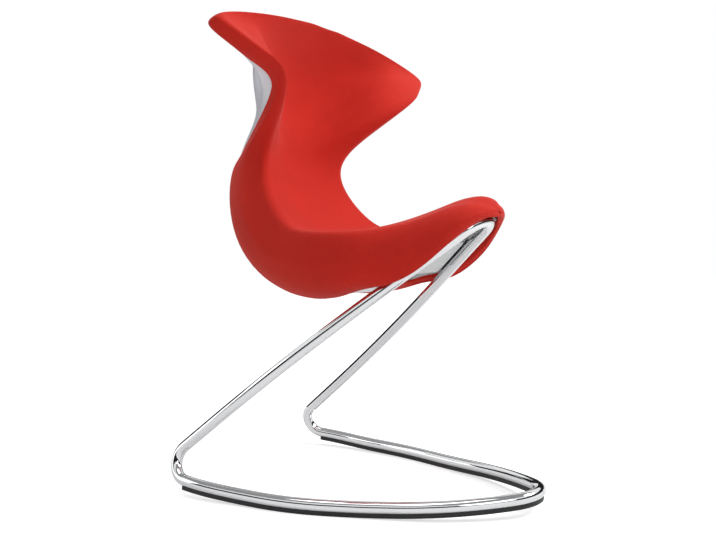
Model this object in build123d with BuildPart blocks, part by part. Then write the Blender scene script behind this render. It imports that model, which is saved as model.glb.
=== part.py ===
"""Rocking lounge chair: a saddle seat with a whale-tail back on one closed loop of bent tube.

Millimetres, +Z up, the sitter faces -Y, symmetric about the YZ plane.
The origin is on the floor, under the middle of the chair's bounding box.
"""
from build123d import *
from math import acos, atan2, cos, radians, sin, sqrt, tan
import os

os.makedirs("parts", exist_ok=True)

# Driving sizes of the whole chair
half_width = 330.0          # middle to the tip of a wing
seat_height = 825.0         # floor to the top edge of the back
seat_reach = 300.0          # middle of the chair to its front or rear end
body_depth = 100.0          # face to rear of the back at the waist

# Frame tube
tube_radius = 10.0
tube_wall = 2.5
joint_gap = 0.4             # hairline between the two tube ends at the front
sleeve_clearance = 0.15
sleeve_wall = 2.0
sleeve_length = 60.0
rocker_radius = 3000.0      # curve of the runners seen from the side
rocker_low_y = 14.0         # where the runners touch the floor
glide_stand = 5.0           # underside of the tube to the floor at the touching point
rocker_sag = 0.3            # the runner's arcs pass this far below its points
leg_foot_height = 79.4      # lower end of a leg over the floor
front_bend_radius = 45.0
leg_bow_radius = 1490.0     # gentle bend in the middle of a leg

# Glides under the runners
glide_width = 13.0
glide_clearance = 0.2
pin_radius = 2.0
pin_clearance = 0.1
pin_length = 8.0
pin_sunk = 1.5              # pin's foot above the glide's underside

# Seat layers
cover_thickness = 3.0
layer_clearance = 0.3
shell_thickness = 5.0
shell_gap = 0.6             # groove between the shell's edge and the cover
core_thickness = 6.0
core_clearance = 0.6
foam_clearance = 0.6
core_width_share = 0.5      # of the ridge's half-width

# Recess under the pommel
pan_thickness = 3.0
recess_overrun = 40.0       # how far below its side walls the recess is cut

# Mounting plate and its fixings, set out square to the legs' plane
plate_thickness = 4.0
plate_seat_gap = 0.3
plate_front_down = 60.6     # middle of the front bend to the plate, along the legs
plate_length = 92.8
plate_corner = 8.0
plate_overlap = 1.0         # plate's edge outside the leg's centre line
cover_plate_inset = 24.0    # leg's centre line to the edge of the cover plate
cover_plate_rise = 4.3
cover_plate_wall = 1.8
screw_radius = 3.0
screw_clearance = 0.3
screw_head_radius = 5.0
screw_head_height = 2.0
screw_end_gap = 0.7         # screw's end short of the insert's upper face
screw_hole_clearance = 0.4
insert_radius = 6.0
insert_length = 10.0
insert_clearance = 1.2      # insert's foot over the roof of the recess

# Runner seen from above, from the front joint at its start to the rear bend:
# half-widths as shares of half_width, depths as shares of seat_reach
front_joint_share = -0.983
runner_shares = [
    (0.152, -0.913),
    (0.273, -0.757),
    (0.455, -0.387),
    (0.577, -0.007),
    (0.648, 0.377),
    (0.668, 0.647),
    (0.664, 0.887),
]

# Legs: the middle of the front bend and the lower end of a leg (depth as a
# share of seat_reach), the bend's height as a share of seat_height, and the
# half-widths of the bow's corner and of the lower end as shares of half_width
apex_depth_share = -0.677
apex_height_share = 0.5751
foot_depth_share = 0.944
bow_width_share = 0.5085
foot_width_share = 0.6045
bow_down_share = 0.569      # from the bend to the bow's corner, of the leg's length

# Stations of the seat's hull from the top edge to the nose.
# Each lies in a plane through the X direction: its middle point on the face
# (depth as a share of seat_reach, height as a share of seat_height) and the
# tilt in degrees of the way from the face to the rear.
station_place_shares = [
    (0.370, 0.9980, 28),
    (0.455, 0.9650, 28),
    (0.535, 0.9290, 28),
    (0.588, 0.8960, 28),
    (0.616, 0.8680, 28),
    (0.632, 0.8400, 28),
    (0.628, 0.8150, 28),
    (0.618, 0.7920, 28),
    (0.611, 0.7670, 28),
    (0.607, 0.7480, 25),
    (0.606, 0.7200, 14),
    (0.580, 0.6790, 0),
    (0.480, 0.6190, 22),
    (0.377, 0.5780, 43),
    (0.260, 0.5530, 63),
    (0.113, 0.5480, 90),
    (-0.063, 0.5650, 90),
    (-0.200, 0.5780, 90),
    (-0.330, 0.5950, 90),
    (-0.460, 0.6110, 90),
    (-0.553, 0.6220, 90),
    (-0.647, 0.6250, 90),
    (-0.713, 0.6190, 90),
    (-0.750, 0.6050, 90),
]

# The outline at each station, half-widths as shares of half_width and
# depths behind the face's middle as shares of body_depth: ridge, bulge,
# rear edge of the cover, rear middle, then the swell of the two flank arcs
# and the shoulder where the dish of the face turns into its flat wing
station_form_shares = [
    (0.22, 0.01, 0.225, 0.3, 0.18, 0.33, 0.335, 0.03, 0.01, 0.11, -0.01),
    (0.5, -0.35, 0.509, -0.04, 0.43, -0.03, 0.36, 0.04, 0.01, 0.33, -0.22),
    (0.77, -0.7, 0.78, -0.4, 0.57, -0.37, 0.38, 0.04, 0.01, 0.5, -0.56),
    (0.98, -0.97, 0.992, -0.69, 0.58, -0.6, 0.4, 0.04, 0.01, 0.56, -0.84),
    (0.99, -1.18, 1.0, -0.9, 0.545, -0.67, 0.42, 0.04, 0.01, 0.56, -1.0),
    (0.915, -1.38, 0.92, -1.09, 0.48, -0.72, 0.44, 0.03, 0.01, 0.5, -1.05),
    (0.825, -1.5, 0.82, -1.22, 0.42, -0.5, 0.47, 0.02, 0.02, 0.45, -0.97),
    (0.725, -1.57, 0.715, -1.28, 0.36, 0.0, 0.72, 0.02, 0.04, 0.38, -0.76),
    (0.615, -1.5, 0.61, -1.1, 0.3, 0.5, 0.92, 0.03, 0.1, 0.31, -0.5),
    (0.475, -0.86, 0.49, -0.4, 0.24, 0.8, 1.02, 0.05, 0.18, 0.24, -0.24),
    (0.38, -0.36, 0.4, 0.15, 0.18, 0.92, 1.02, 0.05, 0.2, 0.19, -0.1),
    (0.365, -0.22, 0.4, 0.25, 0.165, 1.0, 1.06, 0.05, 0.21, 0.18, -0.05),
    (0.418, -0.12, 0.47, 0.45, 0.135, 1.3, 1.36, 0.05, 0.26, 0.21, -0.03),
    (0.452, -0.12, 0.5, 0.45, 0.13, 1.27, 1.31, 0.05, 0.26, 0.23, -0.03),
    (0.494, -0.1, 0.518, 0.45, 0.15, 1.21, 1.24, 0.05, 0.26, 0.25, -0.025),
    (0.506, -0.09, 0.521, 0.45, 0.19, 1.06, 1.08, 0.05, 0.25, 0.25, -0.022),
    (0.48, 0.02, 0.495, 0.48, 0.3, 0.93, 0.97, 0.05, 0.16, 0.24, 0.005),
    (0.388, 0.11, 0.43, 0.6, 0.358, 1.06, 1.0, 0.06, 0.05, 0.19, 0.027),
    (0.321, 0.17, 0.378, 0.66, 0.332, 1.08, 1.0, 0.07, 0.04, 0.16, 0.042),
    (0.261, 0.17, 0.344, 0.62, 0.312, 0.97, 0.9, 0.08, 0.04, 0.13, 0.042),
    (0.218, 0.16, 0.311, 0.56, 0.285, 0.83, 0.78, 0.08, 0.04, 0.11, 0.04),
    (0.164, 0.14, 0.255, 0.44, 0.224, 0.59, 0.56, 0.07, 0.03, 0.08, 0.035),
    (0.104, 0.11, 0.17, 0.27, 0.136, 0.33, 0.31, 0.04, 0.02, 0.05, 0.027),
    (0.045, 0.05, 0.076, 0.12, 0.06, 0.19, 0.18, 0.02, 0.01, 0.022, 0.012),
]

# Depth of the inner core behind the face, as shares of body_depth,
# from the second station to the one over the front of the recess
core_depth_shares = [
    0.14, 0.14, 0.14, 0.14, 0.14, 0.15, 0.18, 0.20, 0.24, 0.26,
    0.28, 0.30, 0.30, 0.30, 0.30, 0.28, 0.26, 0.24, 0.20,
]

# Recess under the pommel, from its rear wall to its front wall: depth as a
# share of seat_reach, half-width as a share of half_width, then the heights
# of its side walls and of its roof as shares of seat_height
recess_shares = [
    (-0.027, 0.290, 0.464, 0.478),
    (-0.200, 0.334, 0.472, 0.486),
    (-0.330, 0.307, 0.497, 0.520),
    (-0.460, 0.288, 0.527, 0.556),
    (-0.553, 0.261, 0.551, 0.582),
    (-0.647, 0.200, 0.577, 0.603),
    (-0.713, 0.120, 0.588, 0.603),
    (-0.733, 0.080, 0.589, 0.598),
]

# Fixings in the plate: half-widths as shares of the leg's half-width there,
# ways down from the plate's front edge as shares of its length
fixing_shares = [(0.45, 0.8), (0.45, 0.3)]

shell_last_station = 16     # the station just past the rear wall of the recess

# Plane of the legs, from the middle of the front bend down to their lower ends
leg_apex = Vector(0, apex_depth_share * seat_reach, apex_height_share * seat_height)
leg_foot = Vector(0, foot_depth_share * seat_reach, leg_foot_height)
leg_length = (leg_foot - leg_apex).length
leg_plane = Plane(
    origin=leg_apex,
    x_dir=(1, 0, 0),
    z_dir=Vector(1, 0, 0).cross(leg_foot - leg_apex),
)


def rocker_height(y):
    """Height of the tube's centre line on the runners."""
    lift = rocker_radius - sqrt(rocker_radius**2 - (y - rocker_low_y) ** 2)
    return glide_stand + rocker_sag + tube_radius + lift


def runner_point(x, y):
    """Point of the runner's centre line over a point of the floor."""
    return Vector(x, y, rocker_height(y))


def leg_half_width(down):
    """Half-width of the straight front stretch of a leg, a way down from the bend."""
    return bend_end.X + (down - bend_end.Y) * front_way.X / front_way.Y


# Half of the legs in their plane: the front bend, a straight stretch that
# leaves it on a tangent, the gentle bow about its corner, and the lower stretch
bow_corner = Vector(bow_width_share * half_width, bow_down_share * leg_length)
foot_corner = Vector(foot_width_share * half_width, leg_length)
from_centre = bow_corner - Vector(0, front_bend_radius)
bend_turn = atan2(from_centre.X, from_centre.Y) + acos(front_bend_radius / from_centre.length)
bend_end = Vector(sin(bend_turn), 1 + cos(bend_turn)) * front_bend_radius
front_way = (bow_corner - bend_end).normalized()
tail_way = (foot_corner - bow_corner).normalized()
bow_turn = atan2(front_way.X, front_way.Y) - atan2(tail_way.X, tail_way.Y)
bow_reach = leg_bow_radius * tan(bow_turn / 2)
bow_start = bow_corner - front_way * bow_reach
bow_end = bow_corner + tail_way * bow_reach
leg_points = [
    leg_plane.from_local_coords(point)
    for point in (Vector(0, 0), bend_end, bow_start, bow_end, foot_corner)
]

front_start = runner_point(joint_gap / 2, front_joint_share * seat_reach)
runner_points = [runner_point(x * half_width, y * seat_reach) for x, y in runner_shares]


def draw_runner():
    """Arcs of one runner from the front joint to the rear, for use inside a line."""
    arc = TangentArc(front_start, runner_points[0], tangent=(1, 0, 0))
    for target in runner_points[1:]:
        arc = TangentArc(arc @ 1, target, tangent=arc % 1)
    return arc


# Centre line of one runner, and the pins' places at the middle of its arcs
with BuildLine() as runner_line:
    draw_runner()
pin_points = [edge @ 0.5 for edge in runner_line.edges()[1:]]


def middle_joint(start, start_way, end, end_way):
    """Point where the two arcs of a tangent pair from start to end meet."""
    gap = end - start
    ways = start_way + end_way
    a = 4 - ways.dot(ways)
    b = 2 * gap.dot(ways)
    c = -gap.dot(gap)
    reach = (-b + sqrt(b * b - 4 * a * c)) / (2 * a)
    return (start + start_way * reach + end - end_way * reach) / 2


def station_plane(index, sink=0.0):
    """Plane of a hull station, set in along its normal by a layer's depth."""
    y, z, tilt = station_place_shares[index]
    rearward = (0, cos(radians(tilt)), -sin(radians(tilt)))
    plane = Plane(
        origin=(0, y * seat_reach, z * seat_height),
        x_dir=(1, 0, 0),
        z_dir=Vector(1, 0, 0).cross(Vector(*rearward)),
    )
    return plane.offset(sink)


def station_form(index, sink):
    """Half outline of a hull station, set in by a layer's depth."""
    form = station_form_shares[index]
    ridge = Vector(form[0] * half_width - sink, form[1] * body_depth + sink)
    bulge = Vector(form[2] * half_width - sink, form[3] * body_depth - sink)
    edge = Vector(form[4] * half_width, form[5] * body_depth - sink)
    rear = Vector(0, form[6] * body_depth - sink)
    shoulder = Vector(form[9] * half_width + sink / 2, form[10] * body_depth + sink)
    return ridge, bulge, edge, rear, shoulder


def swell_point(start, end, swell):
    """Middle of an arc that swells outwards from its chord."""
    way = (end - start).normalized()
    outward = Vector(way.Y, -way.X)
    if outward.X < 0:
        outward = -outward
    return (start + end) / 2 + outward * swell


def other_side(point):
    """The same point on the other side of the middle."""
    return Vector(-point.X, point.Y)


def hull_outline(index, sink):
    """Closed outline of the hull at a station, for use inside a line."""
    ridge, bulge, edge, rear, shoulder = station_form(index, sink)
    upper_mid = swell_point(ridge, bulge, station_form_shares[index][7] * body_depth)
    lower_mid = swell_point(bulge, edge, station_form_shares[index][8] * body_depth)
    face = Vector(0, sink)
    ThreePointArc(other_side(shoulder), face, shoulder)
    Line(shoulder, ridge)
    ThreePointArc(ridge, upper_mid, bulge)
    ThreePointArc(bulge, lower_mid, edge)
    ThreePointArc(edge, rear, other_side(edge))
    ThreePointArc(other_side(edge), other_side(lower_mid), other_side(bulge))
    ThreePointArc(other_side(bulge), other_side(upper_mid), other_side(ridge))
    Line(other_side(ridge), other_side(shoulder))


def skin_outline(index, outward, inward):
    """Outline along the rear of the hull, between two depths from its surface."""
    ridge, bulge, edge, rear, shoulder = station_form(index, 0)
    outer = edge + Vector(0, outward)
    inner = edge - Vector(0, inward)
    Line(outer, inner)
    ThreePointArc(inner, rear - Vector(0, inward), other_side(inner))
    Line(other_side(inner), other_side(outer))
    ThreePointArc(other_side(outer), rear + Vector(0, outward), outer)


def core_outline(index, spare):
    """Outline of the core at a station, grown by a clearance."""
    ridge, bulge, edge, rear, shoulder = station_form(index, 0)
    half = ridge.X * core_width_share + spare
    drop = shoulder.Y * (half / shoulder.X) ** 2
    top = core_depth_shares[index - 1] * body_depth - spare
    foot = top + core_thickness + 2 * spare
    ThreePointArc((-half, top + drop), (0, top), (half, top + drop))
    Line((half, top + drop), (half, foot + drop))
    ThreePointArc((half, foot + drop), (0, foot), (-half, foot + drop))
    Line((-half, foot + drop), (-half, top + drop))


station_count = len(station_place_shares)


def sunk_plane(index, sink):
    """Station plane, with the two end stations moved in from the hull's ends."""
    if index == 0:
        return station_plane(index, -sink)
    if index == station_count - 1:
        return station_plane(index, sink)
    return station_plane(index)


def recess_plane(y):
    """Upright plane across the recess at a depth."""
    return Plane(origin=(0, y * seat_reach, 0), x_dir=(1, 0, 0), z_dir=(0, -1, 0))


def recess_outline(index, sink):
    """Outline of the recess, open downwards, set in by a layer's depth."""
    y, half, side, roof = recess_shares[index]
    wide = half * half_width - sink
    foot = side * seat_height - recess_overrun
    side_z = side * seat_height - sink
    roof_z = roof * seat_height - sink
    Line((-wide, foot), (wide, foot))
    Line((wide, foot), (wide, side_z))
    ThreePointArc((wide, side_z), (0, roof_z), (-wide, side_z))
    Line((-wide, side_z), (-wide, foot))


# Frame tube: runner, rear bend and leg on the right, then their mirror image
with BuildPart() as frame_tube:
    with BuildLine() as half_path:
        last_arc = draw_runner()
        leg_way = (leg_points[3] - leg_points[4]).normalized()
        bend_joint = middle_joint(last_arc @ 1, last_arc % 1, leg_points[4], leg_way)
        bend = TangentArc(last_arc @ 1, bend_joint, tangent=last_arc % 1)
        TangentArc(bend @ 1, leg_points[4], tangent=bend % 1)
        Line(leg_points[4], leg_points[3])
        TangentArc(leg_points[3], leg_points[2], tangent=leg_way)
        Line(leg_points[2], leg_points[1])
        TangentArc(leg_points[0], leg_points[1], tangent=(1, 0, 0))
    with BuildSketch(Plane(origin=front_start, z_dir=(1, 0, 0))):
        Circle(tube_radius)
        Circle(tube_radius - tube_wall, mode=Mode.SUBTRACT)
    sweep(path=half_path.wire())
    mirror(about=Plane.YZ)
    for point in pin_points:
        for side in (1, -1):
            with BuildSketch(Plane.XY.offset(point.Z - tube_radius - tube_wall)):
                with Locations((side * point.X, point.Y)):
                    Circle(pin_radius + pin_clearance)
            extrude(amount=4 * tube_wall, mode=Mode.SUBTRACT)
frame_tube.part.label = "frame_tube"
export_step(frame_tube.part, "parts/frame_tube.step")

# Sleeve inside the tube that joins its two ends at the front
with BuildPart() as joint_sleeve:
    with BuildLine() as sleeve_path:
        first_arc = TangentArc(front_start, runner_points[0], tangent=(1, 0, 0))
    sleeve_share = sleeve_length / 2 / first_arc.length
    middle = first_arc @ 0 - Vector(joint_gap / 2, 0, 0)
    with BuildLine() as sleeve_half:
        TangentArc(middle, first_arc @ sleeve_share, tangent=(1, 0, 0))
    sleeve_radius = tube_radius - tube_wall - sleeve_clearance
    with BuildSketch(Plane(origin=middle, z_dir=(1, 0, 0))):
        Circle(sleeve_radius)
        Circle(sleeve_radius - sleeve_wall, mode=Mode.SUBTRACT)
    sweep(path=sleeve_half.wire())
    mirror(about=Plane.YZ)
joint_sleeve.part.label = "joint_sleeve"
export_step(joint_sleeve.part, "parts/joint_sleeve.step")

# Glide strips that hug the underside of the runners
for side_name, side in (("right", -1), ("left", 1)):
    with BuildPart() as glide_strip:
        with BuildLine() as runner_path:
            draw_runner()
        profile_plane = Plane(origin=front_start, x_dir=(0, 1, 0), z_dir=(1, 0, 0))
        with BuildSketch(profile_plane):
            with Locations((0, -tube_radius)):
                Rectangle(glide_width, 2 * glide_stand)
            Circle(tube_radius + glide_clearance, mode=Mode.SUBTRACT)
        sweep(path=runner_path.wire())
        for point in pin_points:
            with BuildSketch(Plane.XY.offset(point.Z - 2 * tube_radius)):
                with Locations((point.X, point.Y)):
                    Circle(pin_radius + pin_clearance)
            extrude(amount=2 * tube_radius, mode=Mode.SUBTRACT)
        if side < 0:
            mirror(about=Plane.YZ, mode=Mode.REPLACE)
    glide_strip.part.label = side_name + "_glide_strip"
    export_step(glide_strip.part, "parts/" + side_name + "_glide_strip.step")

# Pins that hold the glide strips in the tube's wall
with BuildPart() as glide_pins:
    for point in pin_points:
        foot = point.Z - tube_radius - glide_stand + pin_sunk
        for side in (1, -1):
            with BuildSketch(Plane.XY.offset(foot)):
                with Locations((side * point.X, point.Y)):
                    Circle(pin_radius)
            extrude(amount=pin_length)
glide_pins.part.label = "glide_pins"
export_step(glide_pins.part, "parts/glide_pins.step")

shell_front_y = recess_shares[0][0] * seat_reach + shell_gap

# White rear shell, set a groove's width in between the rear edges of the cover
with BuildPart() as back_shell:
    for index in range(shell_last_station + 1):
        with BuildSketch(station_plane(index)):
            with BuildLine():
                skin_outline(index, 0, shell_thickness)
            make_face()
            offset(amount=-shell_gap)
    loft(ruled=True)
    split(bisect_by=Plane.XZ.offset(-shell_front_y), keep=Keep.BOTTOM)
back_shell.part.label = "back_shell"
export_step(back_shell.part, "parts/back_shell.step")

# Room that the rear shell takes out of the softer layers
with BuildPart() as shell_room:
    for index in range(shell_last_station + 1):
        with BuildSketch(station_plane(index)):
            with BuildLine():
                skin_outline(index, shell_thickness, shell_thickness)
            make_face()
    loft(ruled=True)
    split(bisect_by=Plane.XZ.offset(-shell_front_y + layer_clearance), keep=Keep.BOTTOM)

# Room of the recess under the pommel
with BuildPart() as recess_room:
    for index in range(len(recess_shares)):
        with BuildSketch(recess_plane(recess_shares[index][0])):
            with BuildLine():
                recess_outline(index, 0)
            make_face()
    loft(ruled=True)

# Hull inside the cover, which is the foam's outer form
with BuildPart() as inner_hull:
    for index in range(station_count):
        with BuildSketch(sunk_plane(index, cover_thickness)):
            with BuildLine():
                hull_outline(index, cover_thickness)
            make_face()
    loft(ruled=True)

# Fabric cover over the face, the flanks and the rim
with BuildPart() as seat_cover:
    for index in range(station_count):
        with BuildSketch(station_plane(index)):
            with BuildLine():
                hull_outline(index, 0)
            make_face()
    loft(ruled=True)
    add(inner_hull.part, mode=Mode.SUBTRACT)
    add(shell_room.part, mode=Mode.SUBTRACT)
    add(recess_room.part, mode=Mode.SUBTRACT)
seat_cover.part.label = "seat_cover"
export_step(seat_cover.part, "parts/seat_cover.step")

# Inner core of the seat, a thin moulded shell that carries the foam
core_stations = range(1, 1 + len(core_depth_shares))
with BuildPart() as core_shell:
    for index in core_stations:
        with BuildSketch(station_plane(index)):
            with BuildLine():
                core_outline(index, 0)
            make_face()
    loft(ruled=True)
core_shell.part.label = "core_shell"
export_step(core_shell.part, "parts/core_shell.step")

# Places of the fixings in the legs' plane, and the heights over that plane
# of the plate and of the inserts, which stand on the recess's roof
fixing_points = []
for half_share, length_share in fixing_shares:
    fixing_down = plate_front_down + length_share * plate_length
    fixing_x = half_share * leg_half_width(fixing_down)
    fixing_points += [(fixing_x, fixing_down), (-fixing_x, fixing_down)]

roof_points = [
    leg_plane.to_local_coords(Vector(0, y * seat_reach, roof * seat_height))
    for y, half, side, roof in recess_shares
]


def roof_height(down):
    """Height of the recess's roof over the legs' plane, a way down from the bend."""
    for rear, front in zip(roof_points, roof_points[1:]):
        if front.Y <= down <= rear.Y:
            return front.Z + (rear.Z - front.Z) * (down - front.Y) / (rear.Y - front.Y)
    return roof_points[0].Z


plate_foot = tube_radius + plate_seat_gap
plate_top = plate_foot + plate_thickness
insert_foot = max(roof_height(down) for x, down in fixing_points) + insert_clearance
insert_top = insert_foot + insert_length
screw_length = insert_top - screw_end_gap - plate_foot


def plate_outline(edge, set_in):
    """Corners of a plate between the legs, at a distance from their centre lines."""
    front_down = plate_front_down + set_in
    rear_down = plate_front_down + plate_length - set_in
    front_x = leg_half_width(front_down) + edge
    rear_x = leg_half_width(rear_down) + edge
    Polyline(
        (rear_x, rear_down),
        (front_x, front_down),
        (-front_x, front_down),
        (-rear_x, rear_down),
        close=True,
    )


# Pan that lines the recess
with BuildPart() as recess_pan:
    for index in range(len(recess_shares)):
        with BuildSketch(recess_plane(recess_shares[index][0])):
            with BuildLine():
                recess_outline(index, layer_clearance)
            make_face()
    loft(ruled=True)
    for index in range(len(recess_shares)):
        with BuildSketch(recess_plane(recess_shares[index][0])):
            with BuildLine():
                recess_outline(index, layer_clearance + pan_thickness)
            make_face()
    loft(ruled=True, mode=Mode.SUBTRACT)
    add(inner_hull.part, mode=Mode.INTERSECT)
    with BuildSketch(leg_plane.offset(plate_top)):
        with Locations(*fixing_points):
            Circle(screw_radius + screw_hole_clearance)
    extrude(amount=screw_length, mode=Mode.SUBTRACT)
recess_pan.part.label = "recess_pan"
export_step(recess_pan.part, "parts/recess_pan.step")

# Room of the core in the foam
with BuildPart() as core_room:
    for index in core_stations:
        with BuildSketch(station_plane(index)):
            with BuildLine():
                core_outline(index, core_clearance)
            make_face()
    loft(ruled=True)

# Foam between the cover, the core, the rear shell and the pan
with BuildPart() as seat_foam:
    for index in range(station_count):
        with BuildSketch(sunk_plane(index, cover_thickness + foam_clearance)):
            with BuildLine():
                hull_outline(index, cover_thickness + foam_clearance)
            make_face()
    loft(ruled=True)
    add(shell_room.part, mode=Mode.SUBTRACT)
    add(recess_room.part, mode=Mode.SUBTRACT)
    add(core_room.part, mode=Mode.SUBTRACT)
    with BuildSketch(leg_plane.offset(plate_top)):
        with Locations(*fixing_points):
            Circle(insert_radius + layer_clearance)
    extrude(amount=insert_top + layer_clearance - plate_top, mode=Mode.SUBTRACT)
seat_foam.part.label = "seat_foam"
export_step(seat_foam.part, "parts/seat_foam.step")

# Steel plate welded on the legs
plate_axis = Axis(origin=(0, 0, 0), direction=leg_plane.z_dir)
with BuildPart() as mounting_plate:
    with BuildSketch(leg_plane.offset(plate_foot)):
        with BuildLine():
            plate_outline(plate_overlap, 0)
        make_face()
    extrude(amount=plate_thickness)
    fillet(mounting_plate.edges().filter_by(plate_axis), radius=plate_corner)
    with BuildSketch(leg_plane.offset(plate_foot)):
        with Locations(*fixing_points):
            Circle(screw_radius + screw_clearance)
    extrude(amount=plate_thickness, mode=Mode.SUBTRACT)
mounting_plate.part.label = "mounting_plate"
export_step(mounting_plate.part, "parts/mounting_plate.step")

# Plastic tray that covers the screws between the legs
with BuildPart() as cover_plate:
    with BuildSketch(leg_plane.offset(plate_foot - cover_plate_rise)):
        with BuildLine():
            plate_outline(-cover_plate_inset, cover_plate_rise)
        make_face()
    extrude(amount=cover_plate_rise)
    fillet(cover_plate.edges().filter_by(plate_axis), radius=plate_corner)
    mouth = cover_plate.faces().sort_by(plate_axis)[-1]
    offset(amount=-cover_plate_wall, openings=mouth)
cover_plate.part.label = "cover_plate"
export_step(cover_plate.part, "parts/cover_plate.step")

# Screws through the plate and the pan into the inserts
with BuildPart() as mounting_screws:
    with BuildSketch(leg_plane.offset(plate_foot - screw_head_height)):
        with Locations(*fixing_points):
            Circle(screw_head_radius)
    extrude(amount=screw_head_height)
    with BuildSketch(leg_plane.offset(plate_foot)):
        with Locations(*fixing_points):
            Circle(screw_radius)
    extrude(amount=screw_length)
mounting_screws.part.label = "mounting_screws"
export_step(mounting_screws.part, "parts/mounting_screws.step")

# Threaded inserts in the foam over the recess, square to the legs' plane
with BuildPart() as threaded_inserts:
    with BuildSketch(leg_plane.offset(insert_foot)):
        with Locations(*fixing_points):
            Circle(insert_radius)
            Circle(screw_radius + screw_clearance, mode=Mode.SUBTRACT)
    extrude(amount=insert_length)
threaded_inserts.part.label = "threaded_inserts"
export_step(threaded_inserts.part, "parts/threaded_inserts.step")
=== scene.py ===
"""Rocking lounge chair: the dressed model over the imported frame.

Metres, +Z up, the sitter faces -Y, symmetric about the YZ plane.
"""
from math import cos, pi, radians, sin
import bmesh
import bpy
import numpy as np
from mathutils import Matrix, Vector


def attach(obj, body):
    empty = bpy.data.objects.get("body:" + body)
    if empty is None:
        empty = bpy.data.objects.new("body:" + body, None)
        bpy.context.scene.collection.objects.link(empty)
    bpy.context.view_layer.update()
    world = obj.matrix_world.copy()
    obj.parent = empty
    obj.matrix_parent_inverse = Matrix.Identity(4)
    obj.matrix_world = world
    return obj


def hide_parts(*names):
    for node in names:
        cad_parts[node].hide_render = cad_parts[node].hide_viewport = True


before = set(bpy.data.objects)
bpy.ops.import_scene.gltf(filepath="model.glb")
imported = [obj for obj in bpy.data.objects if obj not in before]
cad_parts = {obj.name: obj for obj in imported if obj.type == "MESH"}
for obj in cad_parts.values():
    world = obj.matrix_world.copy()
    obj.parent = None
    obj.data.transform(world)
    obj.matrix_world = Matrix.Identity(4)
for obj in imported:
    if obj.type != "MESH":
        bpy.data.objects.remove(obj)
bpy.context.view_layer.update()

# Sizes of the seat, as in the part
HALF_WIDTH = 0.330
SEAT_HEIGHT = 0.825
SEAT_REACH = 0.300
BODY_DEPTH = 0.100

# Stations of the seat from the top edge to the nose: the face's middle (depth
# as a share of SEAT_REACH, height as a share of SEAT_HEIGHT) and the tilt in
# degrees of the way from the face to the rear
station_place_shares = [
    (0.370, 0.9980, 28),
    (0.455, 0.9650, 28),
    (0.535, 0.9290, 28),
    (0.588, 0.8960, 28),
    (0.616, 0.8680, 28),
    (0.632, 0.8400, 28),
    (0.628, 0.8150, 28),
    (0.618, 0.7920, 28),
    (0.611, 0.7670, 28),
    (0.607, 0.7480, 25),
    (0.606, 0.7200, 14),
    (0.580, 0.6790, 0),
    (0.480, 0.6190, 22),
    (0.377, 0.5780, 43),
    (0.260, 0.5530, 63),
    (0.113, 0.5480, 90),
    (-0.063, 0.5650, 90),
    (-0.200, 0.5780, 90),
    (-0.330, 0.5950, 90),
    (-0.460, 0.6110, 90),
    (-0.553, 0.6220, 90),
    (-0.647, 0.6250, 90),
    (-0.713, 0.6190, 90),
    (-0.750, 0.6050, 90),
]

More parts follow.
